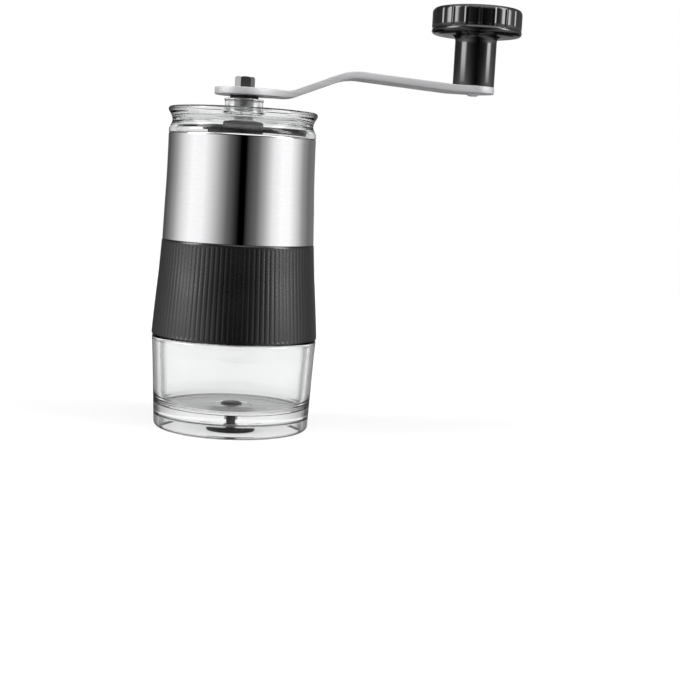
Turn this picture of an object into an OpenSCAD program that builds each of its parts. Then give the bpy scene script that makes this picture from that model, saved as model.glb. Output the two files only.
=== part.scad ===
// Hand crank coffee grinder with a clear screw-on cup, a steel hopper sleeve,
// a conical ceramic burr pair and a lift-off crank.
// Frame: origin at the centre of the face the grinder stands on, +Z up the
// grinding shaft, crank along +X. Millimetres.

/* [Body] */
// Widest diameter, at the lower edge of the grip band
band_d = 58; // [56:0.5:60]
// Height of the clear cup below the grip band
cup_h = 32.2; // [31.5:0.1:32.2]
// Height at which the grip band ends and the steel sleeve starts
band_top = 65.5; // [64.5:0.1:66]
// Height of the steel sleeve's top edge
sleeve_top = 102; // [101.95:0.05:102.2]
// Wall thickness of the steel sleeve
sleeve_t = 0.8; // [0.5:0.05:0.8]

/* [Cup] */
// Outer radius of the cup at its foot
foot_r = 27.25; // [27:0.05:27.5]
// Wall thickness of the cup
cup_t = 2.6; // [2.2:0.1:2.8]
// Height of the floor inside the cup
floor_z = 7.8; // [7.4:0.1:8.2]
// Height of the recess under the floor
recess_h = 5; // [4.4:0.1:5.2]
// Thread pitch of the neck
pitch = 4; // [4:0.5:4]

/* [Crank] */
// Distance from the shaft to the knob's pin
crank_r = 81.3; // [80:0.1:84]
// Thickness of the crank bar
arm_t = 2.4; // [2:0.1:2.5]
// Radius of the disc on the shaft
hub_r = 10.3; // [9.9:0.1:11]
// Radius of the rounded end under the knob
end_r = 7.5; // [7.4:0.1:8]
// Size of the hexagon on the shaft, across flats
hex_af = 6; // [5.9:0.05:6.05]

/* [Knob] */
// Radius of the knob's head
knob_r = 15.9; // [14:0.1:17]
// Radius of the knob's stem
stem_r = 7.35; // [7:0.05:7.5]
// Number of flutes round the head
flutes = 20; // [12:1:24]
// Depth of each flute
flute_d = 0.4; // [0.2:0.05:0.6]

/* [Burrs] */
// Outer radius of the ring burr
ring_r = 17.5; // [17.3:0.05:17.5]
// Number of grinding grooves on each burr
burr_teeth = 12; // [8:1:16]

/* [Hidden] */
$fn = 96;
e = 0.01;

// running clearance on the shaft
run = 0.04;
shaft_r = 3.5;
arm_z = 115.8;            // underside of the crank's disc
hex_top = 122.2;          // top of the shaft
boss_top = 107;           // top of the bridge's boss
lid_top = 110.95;         // top of the lid's plate
lid_boss = 114.6;         // top of the lid's boss
pad_z = 123.9;            // top of the crank's end, under the knob
head_z = 141.85;            // underside of the knob's head
top_z = 150.9;            // top edge of the knob's head

// arc of points round a centre in the r-z plane
function arc(cr, cz, r, a0, a1, n = 8) =
    [for (i = [0:n]) [cr + r*cos(a0 + (a1 - a0)*i/n), cz + r*sin(a0 + (a1 - a0)*i/n)]];

function band_out() = [[band_d/2, 32.4], [28.62, 38], [28, 45.5], [27.12, 55.8], [26.5, band_top]];
function band_in(d = 0) = [[27.9 - d, 32.4], [27.5 - d, 38], [26.85 - d, 45.5], [25.9 - d, 55.8], [25.2 - d, band_top]];
function sleeve_out(d = 0) = [[26.38 - d, band_top], [26.02 - d, 76.5], [25.65 - d, 86.5], [25.47 - d, 97], [25.45 - d, 101.2]];
function rev(v) = [for (i = [len(v) - 1:-1:0]) v[i]];

// three copies about the shaft
module three(a0 = 0) { for (a = [0:2]) rotate(a0 + a*120) children(); }

// helical ridge: turns of a trapezoid, root radius r0 to crest radius r1
module ridge(r0, r1, z0, turns, w0, w1, n = 30) {
    steps = round(turns*n);
    pts = [for (i = [0:steps]) let (a = 360*i/n, z = z0 + pitch*i/n,
               k = min(1, min(i, steps - i)/8 + 0.55), rc = r0 + (r1 - r0)*k)
           for (p = [[r0, z - w0/2], [rc, z - w1/2], [rc, z + w1/2], [r0, z + w0/2]])
               [p[0]*cos(a), p[0]*sin(a), p[1]]];
    faces = concat(
        [[0, 1, 2, 3]],
        [for (i = [0:steps - 1], j = [0:3]) [4*i + j, 4*(i + 1) + j, 4*(i + 1) + (j + 1)%4, 4*i + (j + 1)%4]],
        [[4*steps + 3, 4*steps + 2, 4*steps + 1, 4*steps]]);
    polyhedron(points = pts, faces = r1 > r0 ? [for (f = faces) rev(f)] : faces, convexity = 6);
}

// ---------------------------------------------------------------- cup

module powder_cup() {
    color([0.86, 0.9, 0.92, 0.4])
    difference() {
        union() {
            rotate_extrude() polygon(concat(
                // foot, outside wall, shoulder
                arc(foot_r - 1.5, 1.5, 1.5, -90, 0, 6),
                [[27.75, 12], [28.35, 24], [28.78, 30.8]],
                arc(27.85, 31.2, 1, 0, 90, 6),
                // neck
                [[25.2, cup_h], [25.2, 42], [24.8, 42.4], [23.6, 42.4], [23.2, 42]],
                [[23.2, 31.2], [25.9, 31.2]],
                // inside wall and coved floor
                [[28.35 - cup_t, 24], [27.75 - cup_t, 12]],
                arc(27.6 - cup_t - 3, floor_z + 3, 3, 0, -90, 6),
                [[0, floor_z], [0, recess_h]],
                // recess under the floor
                arc(foot_r - 2.3 - 1, recess_h - 1, 1, 90, 0, 4),
                [[foot_r - 2.3, 0]]));
            // raised ring round the plug
            translate([0, 0, floor_z - 0.1]) difference() {
                cylinder(r = 7.3, h = 0.5);
                translate([0, 0, -e]) cylinder(r = 6.3, h = 1);
            }
            ridge(24.7, 25.84, 34.2, 1.6, 2.3, 0.7);
        }
        translate([0, 0, recess_h - 1]) cylinder(r = 1.7, h = 6);
    }
}

// rubber plug: foot disc, stem through the floor, button on top
module base_plug() {
    color([0.06, 0.06, 0.07])
    rotate_extrude() polygon(concat(
        [[0, 0], [8.3, 0]], arc(8.2, 0.5, 0.4, -60, 60, 4),
        [[8.0, 1.2], [1.9, 1.6], [1.6, 2], [1.6, 4], [2.8, recess_h - 0.3], [2.8, recess_h - e], [1.6, recess_h - e],
         [1.6, floor_z + 0.02], [3.7, floor_z + 0.02], [3.7, floor_z + 0.4], [3.2, floor_z + 0.8], [0, floor_z + 0.9]]));
}

module cup_seal() {
    color([0.75, 0.75, 0.76])
    rotate_extrude() polygon([[23.4, 42.4], [25, 42.4], [25.2, 42.7], [25.2, 43.6], [23.4, 43.6]]);
}

// ---------------------------------------------------------------- body

module inner_body() {
    color([0.09, 0.09, 0.1]) {
        rotate_extrude() polygon(concat(
            // outside, under the band and under the sleeve
            band_in(0.05),
            sleeve_out(sleeve_t + 0.05),
            [[24.6, 101.9], [22.95, 101.9]],
            // seat of the bridge, hopper wall and funnel
            [[22.95, 98.2], [21.6, 98.2], [21.3, 80], [15.4, 67], [15.4, 61.45]],
            // socket of the burr housing and pocket of its flange
            [[18.9, 61.45], [18.9, 46.4], [22.9, 46.4], [22.9, 43.6]],
            // threaded skirt
            [[26.05, 43.6], [26.05, 32.4]]));
        // internal ridge of the skirt, half a pitch from the cup's
        ridge(26.6, 25.45, 36.2, 1.4, 2.3, 0.7);
    }
}

module steel_sleeve() {
    color([0.78, 0.78, 0.79])
    rotate_extrude() polygon(concat(
        sleeve_out(),
        arc(25.05, sleeve_top - 0.4, 0.4, 0, 90, 4), [[24.65, sleeve_top]],
        rev(sleeve_out(sleeve_t))));
}

module grip_band() {
    color([0.07, 0.07, 0.08])
    rotate_extrude() polygon(concat(band_out(), rev(band_in())));
}

module hopper_bridge() {
    color([0.08, 0.08, 0.09])
    difference() {
        union() {
            rotate_extrude() polygon([[20.8, 98.2], [22.9, 98.2], [22.9, 101.9], [20.8, 101.9]]);
            three() translate([4.8, -2.2, 100.6]) cube([17.5, 4.4, 3.9]);
            translate([0, 0, 99]) cylinder(r = 7, h = boss_top - 99);
        }
        translate([0, 0, 98]) cylinder(r = 4.62, h = 11);
    }
}

module bush(z0, h) {
    translate([0, 0, z0]) difference() {
        cylinder(r = 4.6, h = h);
        translate([0, 0, -1]) cylinder(r = shaft_r + run, h = h + 2);
    }
}
module upper_bush() { color([0.9, 0.88, 0.82]) bush(99, boss_top - 99); }
module lower_bush() { color([0.9, 0.88, 0.82]) bush(59.6, 6.6); }

module burr_housing() {
    color([0.12, 0.12, 0.13])
    difference() {
        union() {
            rotate_extrude() polygon([[17.55, 43.6], [22.8, 43.6], [22.8, 46.35], [18.85, 46.35],
                [18.85, 61.4], [15.3, 61.4], [15.3, 57.35], [17.55, 57.35]]);
            three(60) translate([4.8, -1.3, 58]) cube([11, 2.6, 3.4]);
            translate([0, 0, 58.8]) cylinder(r = 6.2, h = 7.4);
        }
        translate([0, 0, 50]) cylinder(r = 4.62, h = 20);
        translate([0, 0, 57]) cylinder(r = 5.4, h = 2.6);
        three(30) translate([20.9, 0, 40]) cylinder(r = 1.1, h = 10, $fn = 24);
    }
}

module ring_burr() {
    color([0.95, 0.94, 0.9])
    difference() {
        rotate_extrude() polygon([[14.65, 45.4], [ring_r, 45.4], [ring_r, 57.3], [12.2, 57.3], [13.75, 50]]);
        for (i = [0:burr_teeth - 1]) rotate(i*360/burr_teeth)
            translate([12.4, 0, 57]) rotate([0, 12, 18]) rotate(45) cube([1.8, 1.8, 14], center = true);
    }
}

module burr_retainer() {
    color([0.75, 0.75, 0.76])
    translate([0, 0, 44]) difference() {
        cylinder(r = ring_r, h = 1.35);
        translate([0, 0, -1]) cylinder(r = 15.4, h = 4);
        translate([10, -2, -1]) cube([10, 4, 4]);
    }
}

module housing_screws() {
    color([0.7, 0.7, 0.72])
    three(30) translate([20.9, 0, 0]) difference() {
        union() {
            translate([0, 0, 42.3]) cylinder(r = 1.7, h = 1.3, $fn = 32);
            translate([0, 0, 43.5]) cylinder(r = 1, h = 2.85, $fn = 24);
        }
        translate([-1.2, -0.25, 42]) cube([2.4, 0.5, 0.7]);
        translate([-0.25, -1.2, 42]) cube([0.5, 2.4, 0.7]);
    }
}

// ---------------------------------------------------------------- shaft

module drive_shaft() {
    color([0.72, 0.72, 0.74])
    difference() {
        union() {
            // threaded foot
            intersection() {
                union() {
                    translate([0, 0, 37.5]) cylinder(r1 = 2.5, r2 = 3, h = 0.5);
                    translate([0, 0, 38]) cylinder(r = 3, h = 7);
                }
                translate([-5, -2.7, 37]) cube([10, 5.4, 9]);
            }
            // flats that drive the burr
            intersection() {
                translate([0, 0, 44.6]) cylinder(r = shaft_r, h = 14);
                translate([-5, -2.7, 44]) cube([10, 5.4, 15]);
            }
            translate([0, 0, 58.4]) cylinder(r = shaft_r, h = arm_z - 58.4);
            // hexagon for the crank
            intersection() {
                translate([0, 0, arm_z - 1]) cylinder(r = hex_af/2/cos(30), h = hex_top - arm_z + 1, $fn = 6);
                union() {
                    translate([0, 0, arm_z - 1]) cylinder(r = 3.6, h = hex_top - arm_z + 0.5);
                    translate([0, 0, hex_top - 0.51]) cylinder(r1 = 3.6, r2 = 3.09, h = 0.51);
                }
            }
        }
        // groove of the clip
        translate([0, 0, boss_top]) difference() {
            cylinder(r = 5, h = 0.9);
            translate([0, 0, -1]) cylinder(r = 2.8, h = 3);
        }
    }
}

module shaft_clip() {
    color([0.3, 0.3, 0.32])
    translate([0, 0, boss_top + 0.05]) difference() {
        cylinder(r = 5, h = 0.8);
        translate([0, 0, -1]) cylinder(r = 2.84, h = 3);
        translate([0, -2.3, -1]) cube([6, 4.6, 3]);
    }
}

module shaft_spacer() {
    color([0.05, 0.05, 0.06])
    translate([0, 0, lid_boss + 0.05]) difference() {
        cylinder(r = 4.9, h = arm_z - lid_boss - 0.05);
        translate([0, 0, -1]) cylinder(r = shaft_r + 0.03, h = 3);
    }
}

module spring_washer() {
    color([0.75, 0.75, 0.76])
    translate([0, 0, 58.98]) difference() {
        cylinder(r = 5, h = 0.6);
        translate([0, 0, -1]) cylinder(r = shaft_r + 0.03, h = 3);
    }
}

// ---------------------------------------------------------------- burr

module inner_burr() {
    color([0.95, 0.94, 0.9])
    difference() {
        rotate_extrude() polygon([[5.05, 46], [13.9, 46], [14.1, 46.6], [13.6, 48.2], [11.5, 50.6],
            [9.2, 53.4], [7.2, 56], [5.05, 56]]);
        for (i = [0:burr_teeth - 1]) rotate(i*360/burr_teeth)
            translate([11.7, 0, 51.7]) rotate([0, -40, 0]) rotate([-22, 0, 0]) rotate(45) cube([1.5, 1.5, 12], center = true);
    }
}

module burr_carrier() {
    color([0.1, 0.1, 0.11])
    difference() {
        union() {
            translate([0, 0, 44.4]) cylinder(r = 9.4, h = 1.58);
            translate([0, 0, 45]) cylinder(r = 5, h = 9);
        }
        intersection() {
            translate([0, 0, 43]) cylinder(r = shaft_r + run, h = 13);
            translate([-5, -2.75, 43]) cube([10, 5.5, 13]);
        }
    }
}

// coil between the carrier and the washer
module burr_spring() {
    color([0.7, 0.7, 0.72])
    for (t = [0]) {
        turns = 4; n = 24; m = 8; wire = 0.35; r = 4.2;
        z0 = 54.02 + wire; h = 58.96 - wire - z0;
        steps = turns*n;
        pts = [for (i = [0:steps]) let (a = 360*i/n, z = z0 + h*i/steps)
               for (j = [0:m - 1]) let (b = 360*j/m, q = r + wire*cos(b))
                   [q*cos(a), q*sin(a), z + wire*sin(b)]];
        polyhedron(points = pts, faces = concat(
            [[for (j = [0:m - 1]) j]],
            [for (i = [0:steps - 1], j = [0:m - 1])
                [m*i + j, m*(i + 1) + j, m*(i + 1) + (j + 1)%m, m*i + (j + 1)%m]],
            [[for (j = [m - 1:-1:0]) m*steps + j]]), convexity = 8);
    }
}

module adjusting_nut() {
    color([0.08, 0.08, 0.09])
    difference() {
        union() {
            translate([0, 0, 39.6]) cylinder(r = 8.2, h = 3.6);
            translate([0, 0, 39.6]) cylinder(r = 4.6, h = 4.78);
        }
        translate([0, 0, 39]) cylinder(r = 3.04, h = 6);
        for (i = [0:9]) rotate(i*36 + 18) translate([9.3, 0, 39]) cylinder(r = 1.9, h = 6, $fn = 24);
    }
}

// ---------------------------------------------------------------- lid

module lid() {
    color([0.88, 0.91, 0.93, 0.35])
    rotate_extrude() polygon(concat(
        // outside: foot flange, waist, flared rim
        [[23.1, 102], [25.2, 102], [25.42, 102.25], [25.42, 103.2], [25.25, 103.9], [24.75, 104.8],
         [24.42, 105.7], [24.35, 106.5], [24.5, 107.3], [24.95, 108.3], [25.4, 109]],
        arc(24.75, lid_top - 1, 1, -20, 90, 8),
        // top plate and central boss
        [[7.2, lid_top], [6.6, lid_top + 0.45], [6.6, lid_boss - 0.8], [6.85, lid_boss - 0.6],
         [6.85, lid_boss], [5.1, lid_boss], [5.1, lid_top - 2.25]],
        // inside
        [[21.4, lid_top - 2.25], [21.95, lid_top - 2.5], [22.15, lid_top - 3.1], [22.15, 106.5], [22.25, 105.7],
         [22.6, 104.8], [23.05, 103.9], [23.1, 103.4]]));
}

// ---------------------------------------------------------------- crank

// slope of the bar, in degrees, at distance s from the shaft
function slope(s) =
    s < 11 ? 0 :
    s < 12 ? -2*(s - 11) :
    s < 13.5 ? -2 :
    s < 18 ? -2 + 24.8*(s - 13.5)/4.5 :
    s < 31.5 ? 22.8 :
    s < 40.5 ? 22.8 - 26.6*(s - 31.5)/9 :
    s < crank_r - 9 ? -3.8 :
    s < crank_r - 8 ? -3.8 + 3.8*(s - crank_r + 9) : 0;
ds = 0.5;
arm_n = ceil((crank_r + 10)/ds);
// height of the bar's middle line, measured down from the pad under the knob
arm_line = [for (i = 0, z = 0; i <= arm_n; z = z + ds*tan(slope((i + 0.5)*ds)), i = i + 1) z];
arm_fix = (pad_z - arm_z - arm_t) - arm_line[arm_n];

module crank_arm() {
    color([0.74, 0.74, 0.75])
    difference() {
        intersection() {
            // side profile of the bent bar
            rotate([90, 0, 0]) linear_extrude(height = 40, center = true)
                polygon(concat(
                    [[-15, arm_z]],
                    [for (i = [0:arm_n]) let (s = i*ds, k = min(1, max(0, (s - 18)/13.5)))
                        [s, arm_z + arm_line[i] + arm_fix*k + arm_t/2 - arm_t/2/cos(slope(s))]],
                    [for (i = [arm_n:-1:0]) let (s = i*ds, k = min(1, max(0, (s - 18)/13.5)))
                        [s, arm_z + arm_line[i] + arm_fix*k + arm_t/2 + arm_t/2/cos(slope(s))]],
                    [[-15, arm_z + arm_t]]));
            // plan outline: disc, neck, bar, round end
            translate([0, 0, 110]) linear_extrude(height = 25) union() {
                circle(r = hub_r);
                translate([crank_r, 0]) circle(r = end_r);
                polygon(concat(
                    [for (i = [0:13]) let (s = 5 + i) [s, -(5.9 + 3.1*pow(1 - i/13, 2.2))]],
                    [[40, -7.1], [crank_r - 1, -7.46], [crank_r - 1, 7.46], [40, 7.1]],
                    [for (i = [13:-1:0]) let (s = 5 + i) [s, 5.9 + 3.1*pow(1 - i/13, 2.2)]]));
            }
        }
        // hexagonal hole on the shaft
        translate([0, 0, arm_z - 1]) cylinder(r = (hex_af/2 + 0.06)/cos(30), h = 5, $fn = 6);
        // hole of the knob's pin
        translate([crank_r, 0, pad_z - 5]) cylinder(r = 1.6, h = 8);
    }
}

module knob_pin() {
    color([0.74, 0.74, 0.75])
    translate([crank_r, 0, 0]) difference() {
        union() {
            translate([0, 0, pad_z - arm_t - 0.9]) cylinder(r1 = 1.5, r2 = 2.05, h = 0.4);
            translate([0, 0, pad_z - arm_t - 0.5]) cylinder(r = 2.05, h = 0.5);
            translate([0, 0, pad_z - arm_t - 0.2]) cylinder(r = 1.55, h = arm_t + 0.4);
            translate([0, 0, pad_z]) cylinder(r = 3, h = 20.8);
        }
        translate([0, 0, 137.7]) cylinder(r = 1.3, h = 10);
    }
}

module knob_washer() {
    color([0.7, 0.7, 0.72])
    translate([crank_r, 0, pad_z + 20.8]) difference() {
        cylinder(r = 4.8, h = 0.6);
        translate([0, 0, -1]) cylinder(r = 1.6, h = 3);
    }
}

module knob_screw() {
    color([0.7, 0.7, 0.72])
    translate([crank_r, 0, 0]) difference() {
        union() {
            translate([0, 0, 138.7]) cylinder(r = 1.25, h = 7);
            translate([0, 0, 145.3]) cylinder(r = 2.8, h = 1.9);
        }
        translate([-0.4, -1.8, 146.3]) cube([0.8, 3.6, 2]);
        translate([-1.8, -0.4, 146.3]) cube([3.6, 0.8, 2]);
    }
}

module knob() {
    color([0.06, 0.06, 0.07])
    translate([crank_r, 0, 0]) difference() {
        rotate_extrude() polygon(concat(
            // bore, stem, fillet under the head
            [[3.05, pad_z], [stem_r - 0.3, pad_z], [stem_r, pad_z + 0.3], [stem_r, head_z - 2.4]],
            arc(stem_r + 1.8, head_z - 2.3, 1.8, 180, 90, 6),
            // head with a rolled lower bead and a rounded upper edge
            [[13.9, head_z - 0.1]],
            arc(knob_r - 1.3, head_z + 1.1, 1.3, -80, 0, 6),
            arc(knob_r - 1.4, top_z - 1.4, 1.4, 0, 80, 6),
            [[12.2, top_z + 0.1], [9.3, top_z + 0.1], [9.3, 149.1], [5.4, 149.1], [5.4, 144.65], [3.05, 144.65]]));
        for (i = [0:flutes - 1]) rotate((i + 0.5)*360/flutes + 6.3)
            translate([knob_r + 5.2 - flute_d, 0, head_z + 1.6]) cylinder(r = 5.2, h = 12, $fn = 48);
    }
}

module knob_cap() {
    color([0.06, 0.06, 0.07])
    translate([crank_r, 0, 0])
    rotate_extrude() polygon([[0, 149.12], [9.25, 149.12], [9.25, 150.8], [9.0, 151.05], [5, 151.2], [0, 151.2]]);
}

powder_cup();
base_plug();
cup_seal();
inner_body();
steel_sleeve();
grip_band();
hopper_bridge();
upper_bush();
burr_housing();
lower_bush();
ring_burr();
burr_retainer();
housing_screws();
drive_shaft();
shaft_clip();
shaft_spacer();
spring_washer();
inner_burr();
burr_carrier();
burr_spring();
adjusting_nut();
lid();
crank_arm();
knob_pin();
knob_washer();
knob_screw();
knob();
knob_cap();
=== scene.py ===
import math

import bmesh
import bpy
from mathutils import Matrix, Vector


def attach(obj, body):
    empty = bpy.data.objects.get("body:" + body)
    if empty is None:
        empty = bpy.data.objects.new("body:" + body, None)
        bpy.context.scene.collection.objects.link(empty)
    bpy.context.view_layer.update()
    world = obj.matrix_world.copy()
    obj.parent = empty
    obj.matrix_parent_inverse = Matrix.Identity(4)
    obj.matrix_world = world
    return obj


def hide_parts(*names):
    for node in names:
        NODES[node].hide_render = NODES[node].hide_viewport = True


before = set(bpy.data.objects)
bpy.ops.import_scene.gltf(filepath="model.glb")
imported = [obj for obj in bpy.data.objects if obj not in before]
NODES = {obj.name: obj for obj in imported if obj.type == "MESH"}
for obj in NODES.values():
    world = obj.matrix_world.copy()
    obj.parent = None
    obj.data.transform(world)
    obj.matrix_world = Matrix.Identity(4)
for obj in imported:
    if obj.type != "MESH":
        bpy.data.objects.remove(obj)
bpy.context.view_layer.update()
MM = 0.001
CRANK_R = 81.3


# ------------------------------------------------------------------ node helpers

class Tree:
    """A material with a Principled shader and short ways to add nodes."""

    def __init__(self, name):
        self.mat = bpy.data.materials.new(name)
        self.mat.use_nodes = True
        self.nt = self.mat.node_tree
        self.nt.nodes.clear()
        self.out = self.add("ShaderNodeOutputMaterial")
        self.bsdf = self.add("ShaderNodeBsdfPrincipled")
        self.link(self.bsdf.outputs["BSDF"], self.out.inputs["Surface"])
        self.obj = self.add("ShaderNodeTexCoord").outputs["Object"]

    def add(self, kind, **props):
        n = self.nt.nodes.new(kind)
        for k, v in props.items():
            setattr(n, k, v)
        return n

    def link(self, a, b):
        self.nt.links.new(a, b)

    def put(self, name, value):
        self.bsdf.inputs[name].default_value = value

    def feed(self, socket, value):
        if isinstance(value, (int, float, tuple)):
            socket.default_value = value
        else:
            self.link(value, socket)

    def math(self, op, a, b=0.0, c=None, clamp=False):
        n = self.add("ShaderNodeMath", operation=op, use_clamp=clamp)
        self.feed(n.inputs[0], a)
        self.feed(n.inputs[1], b)
        if c is not None:
            self.feed(n.inputs[2], c)
        return n.outputs[0]

    def split(self, vec=None):
        n = self.add("ShaderNodeSeparateXYZ")
        self.link(vec or self.obj, n.inputs[0])
        return n.outputs

    def join(self, x, y, z):
        n = self.add("ShaderNodeCombineXYZ")
        for s, v in zip(n.inputs, (x, y, z)):
            self.feed(s, v)
        return n.outputs[0]

    def polar(self, centre=(0.0, 0.0), scale=1.0):
        """(radius, angle, z) about an upright axis, in object space."""
        x, y, z = self.split()
        dx = self.math("SUBTRACT", x, centre[0])
        dy = self.math("SUBTRACT", y, centre[1])
        r = self.math("SQRT", self.math("ADD", self.math("MULTIPLY", dx, dx), self.math("MULTIPLY", dy, dy)))
        return r, self.math("ARCTAN2", dy, dx), z

    def noise(self, vec, scale, detail=3.0, rough=0.5, distort=0.0):
        n = self.add("ShaderNodeTexNoise")
        self.link(vec, n.inputs["Vector"])
        n.inputs["Scale"].default_value = scale
        n.inputs["Detail"].default_value = detail
        n.inputs["Roughness"].default_value = rough
        n.inputs["Distortion"].default_value = distort
        return n.outputs["Fac"]

    def stretch(self, sx, sy, sz, vec=None):
        n = self.add("ShaderNodeMapping")
        self.link(vec or self.obj, n.inputs["Vector"])
        n.inputs["Scale"].default_value = (sx, sy, sz)
        return n.outputs[0]

    def span(self, value, lo, hi, out_lo, out_hi, smooth=False):
        n = self.add("ShaderNodeMapRange")
        if smooth:
            n.interpolation_type = "SMOOTHSTEP"
        self.link(value, n.inputs["Value"])
        for k, v in (("From Min", lo), ("From Max", hi), ("To Min", out_lo), ("To Max", out_hi)):
            n.inputs[k].default_value = v
        return n.outputs["Result"]

    def ramp(self, value, stops):
        n = self.add("ShaderNodeValToRGB")
        self.link(value, n.inputs["Fac"])
        e = n.color_ramp.elements
        while len(e) > 1:
            e.remove(e[-1])
        for i, (p, c) in enumerate(stops):
            s = e[0] if i == 0 else e.new(p)
            s.position = p
            s.color = (*c, 1.0) if len(c) == 3 else c
        return n.outputs["Color"]

    def bump(self, height, strength, distance, normal=None):
        n = self.add("ShaderNodeBump")
        n.inputs["Strength"].default_value = strength
        n.inputs["Distance"].default_value = distance
        self.link(height, n.inputs["Height"])
        if normal is not None:
            self.link(normal, n.inputs["Normal"])
        self.link(n.outputs[0], self.bsdf.inputs["Normal"])
        return n.outputs[0]

    def colour(self, value, stops):
        self.link(self.ramp(value, stops), self.bsdf.inputs["Base Color"])

    def roughness(self, value):
        self.link(value, self.bsdf.inputs["Roughness"])


def let_lamps_through(t, tint):
    """Lamps reach what is behind clear acrylic; sight and mirror stay the shader's own."""
    path = t.add("ShaderNodeLightPath")
    clear = t.add("ShaderNodeBsdfTransparent")
    clear.inputs["Color"].default_value = (*tint, 1)
    mix = t.add("ShaderNodeMixShader")
    t.link(path.outputs["Is Shadow Ray"], mix.inputs[0])
    t.link(t.bsdf.outputs[0], mix.inputs[1])
    t.link(clear.outputs[0], mix.inputs[2])
    t.link(mix.outputs[0], t.out.inputs["Surface"])


# ------------------------------------------------------------------ materials

def steel(name, tint, rough, turn_scale=0.0, along=None, streak=0.05, bump=0.0, metal=1.0):
    """Stainless steel. Fine lines run round the axis (turned) or along a bar."""
    t = Tree(name)
    t.put("Metallic", metal)
    if along == "turned":
        r, a, z = t.polar()
        lines = t.noise(t.join(t.math("MULTIPLY", a, 0.004), r, t.math("MULTIPLY", z, 1.0)), turn_scale, 4.0, 0.6)
    elif along == "x":
        lines = t.noise(t.stretch(0.02, 1.0, 1.0), turn_scale, 4.0, 0.6)
    else:
        lines = t.noise(t.stretch(1.0, 1.0, 0.05), turn_scale, 4.0, 0.6)
    cloud = t.noise(t.obj, 45.0, 3.0)
    both = t.math("ADD", t.math("MULTIPLY", lines, 0.75), t.math("MULTIPLY", cloud, 0.25))
    lo = tuple(c * (1 - streak) for c in tint)
    hi = tuple(min(1.0, c * (1 + streak * 0.6)) for c in tint)
    t.colour(both, [(0.3, lo), (0.7, hi)])
    t.roughness(t.span(both, 0.3, 0.7, rough * 0.8, rough * 1.25))
    if bump:
        t.bump(lines, bump, 0.00004)
    return t.mat


def plastic(name, base, rough, grain=900.0, bump=0.15, depth=0.00004, spec=0.5, coat=0.0, vary=0.25):
    """Moulded plastic or rubber: faint colour drift, fine surface grain."""
    t = Tree(name)
    drift = t.noise(t.obj, 60.0, 4.0)
    fine = t.noise(t.obj, grain, 3.0, 0.6)
    both = t.math("ADD", t.math("MULTIPLY", drift, 0.6), t.math("MULTIPLY", fine, 0.4))
    t.colour(both, [(0.3, tuple(c * (1 - vary) for c in base)), (0.7, tuple(min(1, c * (1 + vary)) for c in base))])
    t.roughness(t.span(both, 0.3, 0.7, rough * 0.85, rough * 1.15))
    t.bump(fine, bump, depth)
    t.put("Specular IOR Level", spec)
    if coat:
        t.put("Coat Weight", coat)
        t.put("Coat Roughness", 0.04)
    return t.mat


def acrylic(name, tint, rough_lo=0.0, rough_hi=0.03, edge_shade_from=0.57, edge_shade_to=0.70, edge_shade_level=0.18, ripples=0.015):
    """Clear moulded acrylic: faint cast ripples, a little wear haze, and painted shade darkening the colour where the
    wall is seen edge on.
    """
    t = Tree(name)
    t.put("Transmission Weight", 1.0)
    t.put("IOR", 1.49)
    r, a, z = t.polar()
    ripple = t.noise(t.join(t.math("MULTIPLY", a, 0.01), r, z), 160.0, 2.0)
    haze = t.noise(t.obj, 120.0, 3.0)
    body = t.ramp(haze, [(0.35, tuple(c * 0.985 for c in tint)), (0.65, tint)])
    # painted shade: the colour is darkened where the wall is seen edge on, standing in for the grey of sight through
    # the thick wall
    weight = t.add("ShaderNodeLayerWeight")
    weight.inputs["Blend"].default_value = 0.5
    edge_shade = t.ramp(weight.outputs["Facing"], [(0.0, (1, 1, 1)), (edge_shade_from, (1, 1, 1)), (edge_shade_to, (edge_shade_level,) * 3), (1.0, (edge_shade_level * 0.9,) * 3)])
    mix = t.add("ShaderNodeMix", data_type="RGBA", blend_type="MULTIPLY")
    mix.inputs["Factor"].default_value = 1.0
    t.link(body, mix.inputs["A"])
    t.link(edge_shade, mix.inputs["B"])
    t.link(mix.outputs["Result"], t.bsdf.inputs["Base Color"])
    t.roughness(t.span(haze, 0.4, 0.75, rough_lo, rough_hi))
    t.bump(ripple, ripples, 0.00005)
    let_lamps_through(t, tuple(0.75 + 0.25 * c for c in tint))
    return t.mat


def ceramic(name):
    t = Tree(name)
    speck = t.noise(t.obj, 2600.0, 2.0)
    drift = t.noise(t.obj, 90.0, 4.0)
    t.colour(t.math("ADD", t.math("MULTIPLY", speck, 0.35), t.math("MULTIPLY", drift, 0.65)),
             [(0.3, (0.80, 0.78, 0.72)), (0.6, (0.90, 0.885, 0.84)), (0.75, (0.93, 0.92, 0.88))])
    t.roughness(t.span(drift, 0.3, 0.7, 0.42, 0.6))
    t.bump(speck, 0.2, 0.00005)
    t.put("Specular IOR Level", 0.45)
    return t.mat


def grip_silicone(name):
    """Black silicone with faint tone drift, fine grain and satin roughness."""
    t = Tree(name)
    r, a, z = t.polar()
    drift = t.noise(t.obj, 70.0, 4.0)
    fine = t.noise(t.obj, 1600.0, 2.0)
    t.colour(t.math("ADD", t.math("MULTIPLY", drift, 0.7), t.math("MULTIPLY", fine, 0.3)),
             [(0.3, (0.0045, 0.0045, 0.005)), (0.7, (0.008, 0.008, 0.0085))])
    t.roughness(t.span(drift, 0.3, 0.7, 0.17, 0.22))
    t.bump(fine, 0.12, 0.00003)
    t.put("Specular IOR Level", 0.65)
    return t.mat


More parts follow.
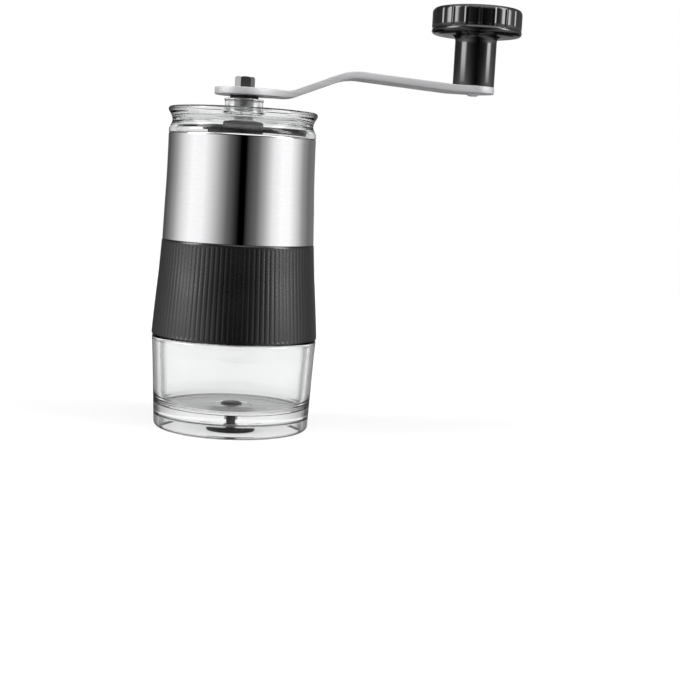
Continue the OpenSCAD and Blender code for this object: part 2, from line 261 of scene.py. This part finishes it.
M = {
    "acrylic_cup": acrylic("acrylic_cup", (0.905, 0.91, 0.91)),
    # the lid's painted edge shade starts later and is fainter
    "acrylic_lid": acrylic("acrylic_lid", (0.945, 0.95, 0.95), edge_shade_from=0.6, edge_shade_to=0.85, edge_shade_level=0.5, ripples=0.006),
    "sleeve": steel("polished_sleeve", (0.80, 0.80, 0.81), 0.045, 1800.0, "turned", 0.035, 0.04),
    "arm": steel("satin_bar", (0.58, 0.58, 0.59), 0.55, 900.0, "x", 0.08, 0.25, 0.62),
    "shaft": steel("ground_shaft", (0.80, 0.80, 0.81), 0.15, 1500.0, "turned", 0.06, 0.15),
    "hardware": steel("plain_steel", (0.62, 0.62, 0.64), 0.22, 700.0, None, 0.08, 0.15),
    "grip": grip_silicone("grip_silicone"),
    "knob": plastic("gloss_black", (0.003, 0.003, 0.0033), 0.09, 500.0, 0.05, 0.00002, 0.6, 0.5),
    "black": plastic("satin_black", (0.004, 0.004, 0.0045), 0.5, 1100.0, 0.2, 0.00003, 0.3),
    "rubber": plastic("plug_rubber", (0.008, 0.008, 0.0085), 0.5, 1500.0, 0.3, 0.00004, 0.4),
    "seal": plastic("seal_silicone", (0.42, 0.42, 0.43), 0.45, 900.0, 0.15),
    "nylon": plastic("bush_nylon", (0.72, 0.70, 0.63), 0.38, 900.0, 0.15, vary=0.06),
    "ceramic": ceramic("burr_ceramic"),
}


# ------------------------------------------------------------------ mesh helpers

def rounded(points, radii, steps=4):
    """A polyline with its corners rounded: radii is one number or a dict of index to radius."""
    n = len(points)
    out = []
    for i, p in enumerate(points):
        rad = radii.get(i, 0.0) if isinstance(radii, dict) else radii
        p = Vector(p)
        a, b = Vector(points[i - 1]), Vector(points[(i + 1) % n])
        u, v = (a - p), (b - p)
        lu, lv = u.length, v.length
        if rad <= 0 or lu < 1e-6 or lv < 1e-6:
            out.append(tuple(p))
            continue
        u.normalize(); v.normalize()
        ang = u.angle(v)
        if ang > math.radians(174):
            out.append(tuple(p))
            continue
        d = min(rad / math.tan(ang / 2), lu * 0.45, lv * 0.45)
        q0, q1 = p + u * d, p + v * d
        for k in range(steps + 1):
            s = k / steps
            out.append(tuple((1 - s) ** 2 * q0 + 2 * s * (1 - s) * p + s * s * q1))
    return out


def arc(cr, cz, r, a0, a1, n=8):
    return [(cr + r * math.cos(math.radians(a0 + (a1 - a0) * i / n)),
             cz + r * math.sin(math.radians(a0 + (a1 - a0) * i / n))) for i in range(n + 1)]


def finish_mesh(name, bm, mat, angle=28.0):
    bmesh.ops.remove_doubles(bm, verts=bm.verts, dist=1e-7)
    bmesh.ops.recalc_face_normals(bm, faces=bm.faces)
    me = bpy.data.meshes.new(name)
    bm.to_mesh(me)
    bm.free()
    for p in me.polygons:
        p.use_smooth = True
    me.set_sharp_from_angle(angle=math.radians(angle))
    o = bpy.data.objects.new(name, me)
    bpy.context.scene.collection.objects.link(o)
    me.materials.append(mat)
    return o


def subdivide_profile(points, longest, closed=True):
    out = []
    n = len(points)
    for i in range(n if closed else n - 1):
        a, b = points[i], points[(i + 1) % n]
        d = math.hypot(b[0] - a[0], b[1] - a[1])
        k = max(1, math.ceil(d / longest))
        for j in range(k):
            s = j / k
            out.append((a[0] + (b[0] - a[0]) * s, a[1] + (b[1] - a[1]) * s))
    if not closed:
        out.append(points[-1])
    return out


def lathe(name, profile, mat, segments=192, centre=(0.0, 0.0), shape=None, closed=True, angle=28.0):
    """Revolves an r-z profile in mm. shape(r, z, angle) may move a point's radius and height."""
    bm = bmesh.new()
    rings = []
    n = len(profile)
    axis = {}
    for k in range(segments):
        a = 2 * math.pi * k / segments
        ring = []
        for i, (r, z) in enumerate(profile):
            if r < 1e-6:
                if i not in axis:
                    axis[i] = bm.verts.new((centre[0] * MM, centre[1] * MM, z * MM))
                ring.append(axis[i])
                continue
            rr, zz = shape(r, z, a) if shape else (r, z)
            ring.append(bm.verts.new(((centre[0] + rr * math.cos(a)) * MM, (centre[1] + rr * math.sin(a)) * MM, zz * MM)))
        rings.append(ring)
    for k in range(segments):
        r0, r1 = rings[k], rings[(k + 1) % segments]
        for i in range(n if closed else n - 1):
            j = (i + 1) % n
            vs = []
            for v in (r0[i], r1[i], r1[j], r0[j]):
                if v not in vs:
                    vs.append(v)
            if len(vs) >= 3:
                try:
                    bm.faces.new(vs)
                except ValueError:
                    pass
    return finish_mesh(name, bm, mat, angle)


def spline(points, steps=6):
    """Catmull-Rom through an open list of points."""
    out = []
    n = len(points)
    for i in range(n - 1):
        p0 = points[max(0, i - 1)]
        p1, p2 = points[i], points[i + 1]
        p3 = points[min(n - 1, i + 2)]
        for k in range(steps):
            t = k / steps
            out.append(tuple(0.5 * (2 * b + (c - a) * t + (2 * a - 5 * b + 4 * c - d) * t * t + (3 * b - a - 3 * c + d) * t ** 3)
                             for a, b, c, d in zip(p0, p1, p2, p3)))
    out.append(tuple(points[-1]))
    return out


# ------------------------------------------------------------------ steel sleeve

SLEEVE_OUT = [(26.38, 65.5), (26.02, 76.5), (25.65, 86.5), (25.47, 97.0), (25.45, 101.2)]
sleeve_wall = spline(SLEEVE_OUT, 8)
sleeve_profile = (
    [(25.62, 65.5), (26.26, 65.5), (26.36, 65.62)]
    + sleeve_wall[1:]
    + arc(25.03, 101.58, 0.41, 0, 90, 8)
    + [(24.65, 101.99), (24.65, 101.2)]
    + [(r - 0.79, z) for r, z in reversed(sleeve_wall[1:-1])])
sleeve = lathe("sleeve_shell", sleeve_profile, M["sleeve"], 256, angle=40)
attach(sleeve, "housing")
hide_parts("steel_sleeve")


# ------------------------------------------------------------------ ribbed grip band

BAND_OUT = [(29.0, 32.4), (28.62, 38.0), (28.0, 45.5), (27.12, 55.8), (26.5, 65.5)]
RIBS = 100
RIB_DEPTH = 0.08


def rib(a):
    """0 on a crest, 1 at the bottom of a groove: rounded crest, narrow groove."""
    u = (a * RIBS / (2 * math.pi)) % 1.0
    d = abs(u - 0.5) * 2                       # 0 on the crest's middle, 1 in the groove
    crest = 0.16 * (d / 0.45) ** 2 if d < 0.45 else 0.16
    groove = 0.0 if d < 0.45 else (1 - math.cos(math.pi * (d - 0.45) / 0.55)) / 2
    return crest + 0.84 * groove


band_wall = spline(BAND_OUT, 9)
z_lo, z_hi = 32.4, 65.5


def band_shape(r, z, a):
    fade = min(1.0, max(0.0, (z - z_lo - 0.55) / 0.8), max(0.0, (z_hi - 0.75 - z) / 0.8))
    fade = fade * fade * (3 - 2 * fade)
    if fade <= 0 or not outer(r, z):
        return r, z
    return r - RIB_DEPTH * rib(a) * fade, z


def wall_r(z):
    for (r0, z0), (r1, z1) in zip(band_wall, band_wall[1:]):
        if z0 <= z <= z1:
            return r0 + (r1 - r0) * (z - z0) / (z1 - z0)
    return band_wall[-1][0]


def outer(r, z):
    return r > wall_r(z) - 0.3


band_profile = (
    arc(28.62, 32.75, 0.34, -90, -10, 4)
    + [(wall_r(z), z) for z in (32.95, 33.15, 33.4, 33.7, 34.1)]
    + [(wall_r(34.1 + 1.27 * i), 34.1 + 1.27 * i) for i in range(1, 24)]
    + [(wall_r(z), z) for z in (64.0, 64.3, 64.55, 64.8, 65.05)]
    + arc(26.16, 65.2, 0.29, 10, 90, 4)
    + [(25.22, 65.49), (25.92, 55.8), (26.87, 45.5), (27.52, 38.0), (27.9, 32.41)])
band = lathe("ribbed_grip", band_profile, M["grip"], RIBS * 12, shape=band_shape, angle=50)
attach(band, "housing")
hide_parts("grip_band")


# ------------------------------------------------------------------ clear cup

cup_wall = spline([(27.25, 1.5), (27.42, 5.0), (27.75, 12.0), (28.35, 24.0), (28.78, 30.8)], 8)
cup_in = spline([(25.9, 30.9), (25.75, 24.0), (25.42, 17.0), (25.15, 12.0), (24.96, 10.8)], 6)
cup_profile = (
    [(25.0, 0.02), (25.5, 0.0)] + arc(25.8, 1.46, 1.46, -90, -4, 8)
    + cup_wall[1:]
    + arc(27.86, 31.26, 0.93, 0, 90, 8)
    + [(25.45, 32.2), (25.25, 32.3), (25.2, 32.6), (25.2, 42.0), (24.9, 42.36), (24.5, 42.4), (23.8, 42.4), (23.3, 42.2), (23.2, 41.9)]
    + [(23.2, 31.4), (23.3, 31.25), (25.75, 31.2), (25.86, 31.1)]
    + cup_in[:-1]
    + arc(22.0, 10.8, 2.96, 0, -90, 10)
    + [(12.0, 7.81), (7.4, 7.8)] + rounded([(7.3, 7.8), (7.3, 8.2), (6.3, 8.2), (6.3, 7.8)], {1: 0.18, 2: 0.18}, 4)
    + [(5.0, 7.8), (1.72, 7.8), (1.72, 5.0), (8.0, 5.0), (16.0, 5.0)]
    + arc(23.95, 4.0, 1.0, 90, 0, 8)
    + [(24.95, 0.3)])
cup = lathe("cup_shell", cup_profile, M["acrylic_cup"], 224, angle=35)
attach(cup, "cup")
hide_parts("powder_cup")


# ------------------------------------------------------------------ clear lid

lid_out = spline([(25.42, 103.0), (25.3, 103.75), (24.78, 104.75), (24.42, 105.7), (24.35, 106.5), (24.5, 107.3), (24.93, 108.3), (25.42, 109.05), (25.68, 109.6)], 6)
lid_profile = (
    [(23.2, 102.0), (25.1, 102.0), (25.34, 102.08), (25.42, 102.32)]
    + lid_out
    + arc(24.75, 109.94, 0.99, -4, 90, 12)
    + rounded([(7.3, 110.93), (6.6, 111.25), (6.6, 113.75), (6.83, 114.0), (6.83, 114.58), (5.1, 114.58)],
              {0: 0.2, 1: 0.3, 2: 0.15, 3: 0.12, 4: 0.2}, 4)[:-1]
    + [(5.25, 114.58), (5.12, 114.5), (5.1, 114.3), (5.1, 109.0), (5.3, 108.72)]
    + [(21.4, 108.7)] + spline([(21.75, 108.6), (22.0, 108.35), (22.13, 107.8), (22.15, 107.1), (22.15, 106.5), (22.25, 105.7), (22.6, 104.8), (22.98, 103.95), (23.1, 103.3)], 4)
    + [(23.1, 102.1)])
lid = lathe("lid_shell", lid_profile, M["acrylic_lid"], 224, angle=35)
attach(lid, "lid")
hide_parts("lid")


# ------------------------------------------------------------------ crank bar

def slope(s):
    if s < 11: return 0.0
    if s < 12: return -2 * (s - 11)
    if s < 13.5: return -2.0
    if s < 18: return -2 + 24.8 * (s - 13.5) / 4.5
    if s < 31.5: return 22.8
    if s < 40.5: return 22.8 - 26.6 * (s - 31.5) / 9
    if s < CRANK_R - 9: return -3.8
    if s < CRANK_R - 8: return -3.8 + 3.8 * (s - CRANK_R + 9)
    return 0.0


ARM_Z, ARM_T, PAD_Z = 115.8, 2.4, 123.9
DS = 0.5
ARM_N = math.ceil((CRANK_R + 10) / DS)
line = [0.0]
for i in range(ARM_N):
    line.append(line[-1] + DS * math.tan(math.radians(slope((i + 0.5) * DS))))
arm_fix = (PAD_Z - ARM_Z - ARM_T) - line[ARM_N]


def arm_level(s):
    """Height of the bar's underside and top at distance s along X."""
    if s <= 0:
        return ARM_Z, ARM_Z + ARM_T
    f = min(s / DS, ARM_N - 1e-6)
    i = int(f)
    base = line[i] + (line[i + 1] - line[i]) * (f - i)
    k = min(1.0, max(0.0, (s - 18) / 13.5))
    mid = ARM_Z + base + arm_fix * k + ARM_T / 2
    half = ARM_T / 2 / math.cos(math.radians(slope(s)))
    return mid - half, mid + half


def arm_outline():
    """Plan outline, counter-clockwise from the disc's far side."""
    def neck(x):
        return 5.9 + 3.1 * max(0.0, 1 - (x - 5) / 13) ** 2.2

    a_join = math.pi / 3
    pts = []
    hub_r = 10.3
    # where the disc meets the neck's curve
    for i in range(1200):
        a = math.pi - i * math.pi / 1200
        x, y = hub_r * math.cos(a), hub_r * math.sin(a)
        if x > 5:
            if y < neck(x):
                a_join = a
                break
    xj = hub_r * math.cos(a_join)
    for i in range(49):
        a = math.pi - (math.pi - a_join) * i / 48
        pts.append((hub_r * math.cos(a), hub_r * math.sin(a)))
    for i in range(1, 25):
        x = xj + (18 - xj) * i / 24
        pts.append((x, neck(x)))
    x = 18.0
    while x < 39.5:
        x += 0.6
        pts.append((x, 5.9 + 1.2 * (x - 18) / 22))
    while x < CRANK_R - 1.6:
        x += 1.2
        pts.append((x, 7.1 + 0.36 * (x - 40) / (CRANK_R - 41)))
    for i in range(33):
        a = math.radians(90 - 90 * i / 32)
        pts.append((CRANK_R + 7.5 * math.cos(a), 7.5 * math.sin(a)))
    lower = [(px, -py) for px, py in reversed(pts[1:-1])]
    return pts + lower


def offset(points, d):
    """Moves a closed outline inward by d (outline runs clockwise seen from above)."""
    n = len(points)
    out = []
    for i in range(n):
        a, b, c = (Vector(points[i - 1]), Vector(points[i]), Vector(points[(i + 1) % n]))
        t = (c - a)
        if t.length < 1e-9:
            out.append(tuple(b))
            continue
        t.normalize()
        nrm = Vector((t.y, -t.x))
        out.append(tuple(b + nrm * d))
    return out


outline = arm_outline()
EDGE = 0.28
bm = bmesh.new()


def ring_at(points, side, drop):
    vs = []
    for x, y in points:
        lo, hi = arm_level(max(0.0, x) if x > 0 else 0.0)
        z = (lo + drop) if side == 0 else (hi - drop)
        vs.append(bm.verts.new((x * MM, y * MM, z * MM)))
    return vs


def bridge(a, b):
    n = len(a)
    for i in range(n):
        bm.faces.new((a[i], a[(i + 1) % n], b[(i + 1) % n], b[i]))


rings = []
for k in range(5):
    q = math.radians(90 * k / 4)
    rings.append(ring_at(offset(outline, EDGE * (1 - math.sin(q))), 0, EDGE * (1 - math.cos(q))))
for k in range(5):
    q = math.radians(90 * k / 4)
    rings.append(ring_at(offset(outline, EDGE * (1 - math.cos(q))), 1, EDGE * (1 - math.sin(q))))
for a, b in zip(rings, rings[1:]):
    bridge(a, b)


HEX = 3.06 / math.cos(math.radians(30))
hex_pts = []
for i in range(6):
    a0, a1 = math.radians(60 * i), math.radians(60 * (i + 1))
    for k in range(4):
        s = k / 4
        hex_pts.append((HEX * (math.cos(a0) * (1 - s) + math.cos(a1) * s), HEX * (math.sin(a0) * (1 - s) + math.sin(a1) * s)))
pin_pts = [(CRANK_R + 1.6 * math.cos(2 * math.pi * i / 32), 1.6 * math.sin(2 * math.pi * i / 32)) for i in range(32)]
# inner guide rings keep the bent faces smooth: rows across the bar
hex_rings = [ring_at(hex_pts, 0, 0.0), ring_at(hex_pts, 1, 0.0)]
pin_rings = [ring_at(pin_pts, 0, 0.0), ring_at(pin_pts, 1, 0.0)]
bridge(hex_rings[1], hex_rings[0])
bridge(pin_rings[1], pin_rings[0])


def face_rows(border_points, ring, hex_ring, pin_ring):
    """Quads straight across the bar, and filled faces round the two holes at its ends."""
    n = len(ring)
    half = [i for i, (x, y) in enumerate(border_points) if y > 0 and 12.0 < x < CRANK_R - 8 and i < n // 2]
    first, last = half[0], half[-1]
    for i in range(first, last):
        bm.faces.new((ring[i], ring[i + 1], ring[n - i - 1], ring[n - i]))
    for chain, inner in (([ring[k % n] for k in range(n - first, n + first + 1)], hex_ring),
                         ([ring[k] for k in range(last, n - last + 1)], pin_ring)):
        loop = list(zip(chain, chain[1:])) + [(chain[-1], chain[0])]
        loop += [(inner[k], inner[(k + 1) % len(inner)]) for k in range(len(inner))]
        edges = [bm.edges.get(e) or bm.edges.new(e) for e in loop]
        bmesh.ops.triangle_fill(bm, edges=edges, use_beauty=True)


bm.verts.ensure_lookup_table()
face_rows(offset(outline, EDGE), rings[0], hex_rings[0], pin_rings[0])
face_rows(offset(outline, EDGE), rings[-1], hex_rings[1], pin_rings[1])
arm = finish_mesh("crank_bar", bm, M["arm"], 32)
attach(arm, "crank")
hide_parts("crank_arm")


# ------------------------------------------------------------------ knob

STEM_R, HEAD_Z, TOP_Z, KNOB_R, FLUTES, FLUTE_D = 7.35, 141.85, 150.9, 15.9, 20, 0.22
knob_profile = (
    [(3.05, 123.92)] + rounded([(3.06, 123.92), (STEM_R, 123.92), (STEM_R, 125.7)], {1: 0.35}, 5)[1:-1]
    + [(STEM_R, 125.2 + 1.9 * i) for i in range(8)]
    + arc(STEM_R + 1.8, HEAD_Z - 2.3, 1.8, 180, 90, 10)
    + [(11.5, HEAD_Z - 0.42), (13.4, HEAD_Z - 0.3), (13.9, HEAD_Z - 0.14)]
    # rolled bead at the lower edge of the head
    + arc(KNOB_R - 1.05, HEAD_Z + 0.95, 1.05, -80, 40, 12)
    + [(KNOB_R - 0.30, HEAD_Z + 1.82)]
    + [(KNOB_R - 0.05, HEAD_Z + 2.15 + 0.75 * i) for i in range(7)]
    + arc(KNOB_R - 1.75, TOP_Z - 1.75, 1.70, 0, 84, 10)
    + [(12.9, TOP_Z + 0.05), (11.0, TOP_Z + 0.1)] + rounded([(10.9, TOP_Z + 0.1), (9.3, TOP_Z + 0.1), (9.3, 149.1)], {1: 0.25}, 4)[1:-1]
    + [(9.3, 149.1), (5.4, 149.1), (5.4, 144.65), (3.05, 144.65)])


def flute_shape(r, z, a):
    if z < HEAD_Z + 1.6 or r < 12.5:
        return r, z
    fade = min(1.0, (z - HEAD_Z - 1.7) / 0.35)
    u = ((a - math.radians(6.3)) * FLUTES / (2 * math.pi)) % 1.0      # flute centred between crests
    d = abs(u - 0.5) * 2                        # 0 at the flute's middle, 1 on the crest
    dip = 0.72 + 0.28 * (d / 0.68) ** 2 if d < 0.68 else (1 + math.cos(math.pi * (d - 0.68) / 0.32)) / 2
    top = 1.0 if z < TOP_Z - 1.6 else max(0.0, 1 - (z - TOP_Z + 1.6) / 1.5)
    return r - FLUTE_D * dip * max(0.0, fade) * top, z


knob = lathe("fluted_knob", knob_profile, M["knob"], FLUTES * 24, centre=(CRANK_R, 0.0), shape=flute_shape, angle=38)
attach(knob, "knob")
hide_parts("knob")

cap_profile = [(0, 149.13), (9.2, 149.13), (9.24, 149.3)] + rounded([(9.24, 150.1), (9.24, 150.92), (8.4, 151.04)], {1: 0.3}, 5)[1:-1] \
    + [(8.4, 151.03), (7.0, 151.11), (5.0, 151.16), (2.5, 151.19), (0, 151.2)]
cap = lathe("knob_disc", cap_profile, M["knob"], 96, centre=(CRANK_R, 0.0), closed=False, angle=38)
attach(cap, "knob")
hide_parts("knob_cap")


# ------------------------------------------------------------------ CAD nodes that stay

def dress(mat, *names):
    for n in names:
        o = NODES[n]
        if not o.material_slots:
            o.data.materials.append(mat)
        for s in o.material_slots:
            s.material = mat


dress(M["black"], "inner_body", "hopper_bridge", "burr_housing", "burr_carrier", "adjusting_nut", "shaft_spacer")
dress(M["rubber"], "base_plug")
dress(M["seal"], "cup_seal")
dress(M["nylon"], "upper_bush", "lower_bush")
dress(M["ceramic"], "ring_burr", "inner_burr")
dress(M["hardware"], "burr_retainer", "housing_screws", "shaft_clip", "spring_washer", "burr_spring", "knob_washer", "knob_screw")
dress(M["shaft"], "drive_shaft")
dress(M["arm"], "knob_pin")


# ------------------------------------------------------------------ floor

def floor_material():
    t = Tree("pale_floor")
    fine = t.noise(t.obj, 40.0, 4.0)
    t.colour(fine, [(0.3, (0.58, 0.58, 0.58)), (0.7, (0.60, 0.60, 0.60))])
    t.put("Roughness", 0.85)
    t.put("Specular IOR Level", 0.1)
    t.put("Emission Color", (1.0, 1.0, 1.0, 1.0))
    t.put("Emission Strength", 0.40)
    return t.mat


bm = bmesh.new()
bmesh.ops.create_circle(bm, cap_ends=True, radius=0.8, segments=160)
me = bpy.data.meshes.new("studio_floor")
bm.to_mesh(me)
bm.free()
floor = bpy.data.objects.new("studio_floor", me)
bpy.context.scene.collection.objects.link(floor)
me.materials.append(floor_material())
floor.location = (0, 0, -0.0002)
floor.visible_glossy = False


# ------------------------------------------------------------------ camera

PHI, YAW, PITCH, ROLL = (math.radians(v) for v in (5.6, 4.69, 6.946, 2.992))
fwd = Vector((math.sin(YAW) * math.cos(PITCH), math.cos(YAW) * math.cos(PITCH), -math.sin(PITCH)))
right = Vector((math.cos(YAW), -math.sin(YAW), 0))
up = right.cross(fwd)
r2 = right * math.cos(ROLL) + up * math.sin(ROLL)
u2 = up * math.cos(ROLL) - right * math.sin(ROLL)
turn = Matrix.Rotation(-PHI, 3, "Z")
r2, u2, fwd = turn @ r2, turn @ u2, turn @ fwd
place = turn @ Vector((0, -0.4573, 0.08816))
cam_data = bpy.data.cameras.new("camera")
cam_data.sensor_width = 36.0
cam_data.sensor_fit = "HORIZONTAL"
cam_data.lens = 36.0 * 1300 / 680
cam_data.clip_start = 0.01
cam_data.clip_end = 200
camera = bpy.data.objects.new("camera", cam_data)
bpy.context.scene.collection.objects.link(camera)
camera.matrix_world = Matrix((
    (r2.x, u2.x, -fwd.x, place.x),
    (r2.y, u2.y, -fwd.y, place.y),
    (r2.z, u2.z, -fwd.z, place.z),
    (0, 0, 0, 1)))
bpy.context.scene.camera = camera


# ------------------------------------------------------------------ studio light

scene = bpy.context.scene
scene.view_settings.view_transform = "Standard"
world = bpy.data.worlds.new("studio")
scene.world = world
world.use_nodes = True
nt = world.node_tree
nt.nodes.clear()


def wn(kind, **props):
    n = nt.nodes.new(kind)
    for k, v in props.items():
        setattr(n, k, v)
    return n


def wmath(op, a, b=0.0, clamp=False):
    n = wn("ShaderNodeMath", operation=op, use_clamp=clamp)
    for s, v in zip(n.inputs, (a, b)):
        if isinstance(v, (int, float)):
            s.default_value = v
        else:
            nt.links.new(v, s)
    return n.outputs[0]


def wramp(value, stops):
    n = wn("ShaderNodeValToRGB")
    nt.links.new(value, n.inputs["Fac"])
    n.color_ramp.interpolation = "LINEAR"
    e = n.color_ramp.elements
    while len(e) > 1:
        e.remove(e[-1])
    for i, (p, v) in enumerate(stops):
        s = e[0] if i == 0 else e.new(p)
        s.position = p
        s.color = (v, v, v, 1.0)
    return n.outputs["Color"]


coord = wn("ShaderNodeTexCoord").outputs["Generated"]
sep = wn("ShaderNodeSeparateXYZ")
nt.links.new(coord, sep.inputs[0])
X, Y, Z = sep.outputs
# azimuth about the shaft, 0 towards the front, positive to the object's right
front = -math.pi / 2 - PHI
ca, sa = math.cos(front), math.sin(front)
along = wmath("ADD", wmath("MULTIPLY", X, ca), wmath("MULTIPLY", Y, sa))
side = wmath("ADD", wmath("MULTIPLY", X, -sa), wmath("MULTIPLY", Y, ca))
az = wmath("ARCTAN2", side, along)
fac = wmath("ADD", wmath("DIVIDE", az, 2 * math.pi), 0.5)

# (degrees from the front, level): a dark gap in front, a soft lamp on each side
LOW = [(-180, 0.5), (-165, 0.08), (-150, 0.10), (-134, 0.20), (-118, 0.40), (-98, 0.9), (-80, 1.2), (-58, 1.15), (-44, 0.8),
       (-31, 0.43), (-19, 0.15), (-7, 0.035), (-1, 0.0), (7, 0.0), (12, 0.055), (25, 0.16), (38, 0.5), (51, 1.0), (66, 1.23),
       (82, 1.2), (98, 0.77), (112, 0.36), (130, 0.18), (155, 0.2), (170, 0.2), (180, 0.5)]
HIGH = [(-180, 0.5), (-165, 0.06), (-130, 0.10), (-105, 0.25), (-96, 0.5), (-86, 6.4), (-68, 6.4), (-58, 0.5), (-30, 0.10),
        (-12, 0.03), (0, 0.0), (14, 0.03), (32, 0.10), (48, 0.3), (56, 1.0), (61, 6.8), (75, 6.8), (86, 0.6), (118, 0.2), (150, 0.12), (168, 0.1), (180, 0.5)]
TOP_LEVEL = 8.0


def ring_of(stops):
    n = wn("ShaderNodeRGBToBW")
    nt.links.new(wramp(fac, [((a + 180) / 360, v / TOP_LEVEL) for a, v in stops]), n.inputs[0])
    return wmath("MULTIPLY", n.outputs[0], TOP_LEVEL)


def climb(lo, hi):
    n = wn("ShaderNodeMapRange")
    n.interpolation_type = "SMOOTHSTEP"
    nt.links.new(el, n.inputs["Value"])
    n.inputs["From Min"].default_value = math.radians(lo)
    n.inputs["From Max"].default_value = math.radians(hi)
    return n.outputs["Result"]


el = wmath("ARCSINE", Z)
rise = climb(4.3, 5.6)
# little comes from below the set's horizon at the back; the pale table gives some elsewhere
back = wn("ShaderNodeMapRange")
back.interpolation_type = "SMOOTHSTEP"
nt.links.new(wmath("ABSOLUTE", az), back.inputs["Value"])
back.inputs["From Min"].default_value = math.radians(95)
back.inputs["From Max"].default_value = math.radians(135)
below = wmath("SUBTRACT", 1.0, climb(-16, -7))
dim = wmath("ADD", 0.35, wmath("MULTIPLY", back.outputs["Result"], 0.65))
under = wmath("SUBTRACT", 1.0, wmath("MULTIPLY", below, dim))
low, high = ring_of(LOW), ring_of(HIGH)
lamps = wmath("ADD", wmath("MULTIPLY", low, wmath("SUBTRACT", 1.0, rise)), wmath("MULTIPLY", high, rise))
# the side lamps end above; a broad soft ceiling takes over
top = climb(38, 60)
sides = wmath("MULTIPLY", wmath("MULTIPLY", lamps, wmath("SUBTRACT", 1.0, top)), wmath("ADD", wmath("MULTIPLY", under, 0.94), 0.06))
ceiling = wmath("MULTIPLY", top, 0.85)
studio = wmath("ADD", sides, ceiling)
# what clear acrylic bends into view: the pale set behind, greyer to the sides
thru_ramp = wramp(fac, [((a + 180) / 360, v) for a, v in
                        [(-180, 0.97), (-158, 0.96), (-138, 0.72), (-110, 0.34), (-80, 0.22), (-40, 0.14), (0, 0.06), (40, 0.14), (80, 0.22), (110, 0.34), (138, 0.72), (158, 0.96), (180, 0.97)]])
path = wn("ShaderNodeLightPath")
mix1 = wn("ShaderNodeMix", data_type="FLOAT")
nt.links.new(path.outputs["Is Transmission Ray"], mix1.inputs["Factor"])
nt.links.new(studio, mix1.inputs["A"])
bw2 = wn("ShaderNodeRGBToBW")
nt.links.new(thru_ramp, bw2.inputs[0])
nt.links.new(bw2.outputs[0], mix1.inputs["B"])
mix2 = wn("ShaderNodeMix", data_type="FLOAT")
nt.links.new(path.outputs["Is Camera Ray"], mix2.inputs["Factor"])
nt.links.new(mix1.outputs["Result"], mix2.inputs["A"])
mix2.inputs["B"].default_value = 1.0
bg = wn("ShaderNodeBackground")
bg.inputs["Color"].default_value = (1, 1, 1, 1)
nt.links.new(mix2.outputs["Result"], bg.inputs["Strength"])
wout = wn("ShaderNodeOutputWorld")
nt.links.new(bg.outputs[0], wout.inputs["Surface"])

sun = bpy.data.lights.new("overhead", "SUN")
sun.energy = 1.0
sun.angle = math.radians(70)
lamp = bpy.data.objects.new("overhead", sun)
lamp.rotation_euler = (math.radians(34), math.radians(8), 0)
scene.collection.objects.link(lamp)

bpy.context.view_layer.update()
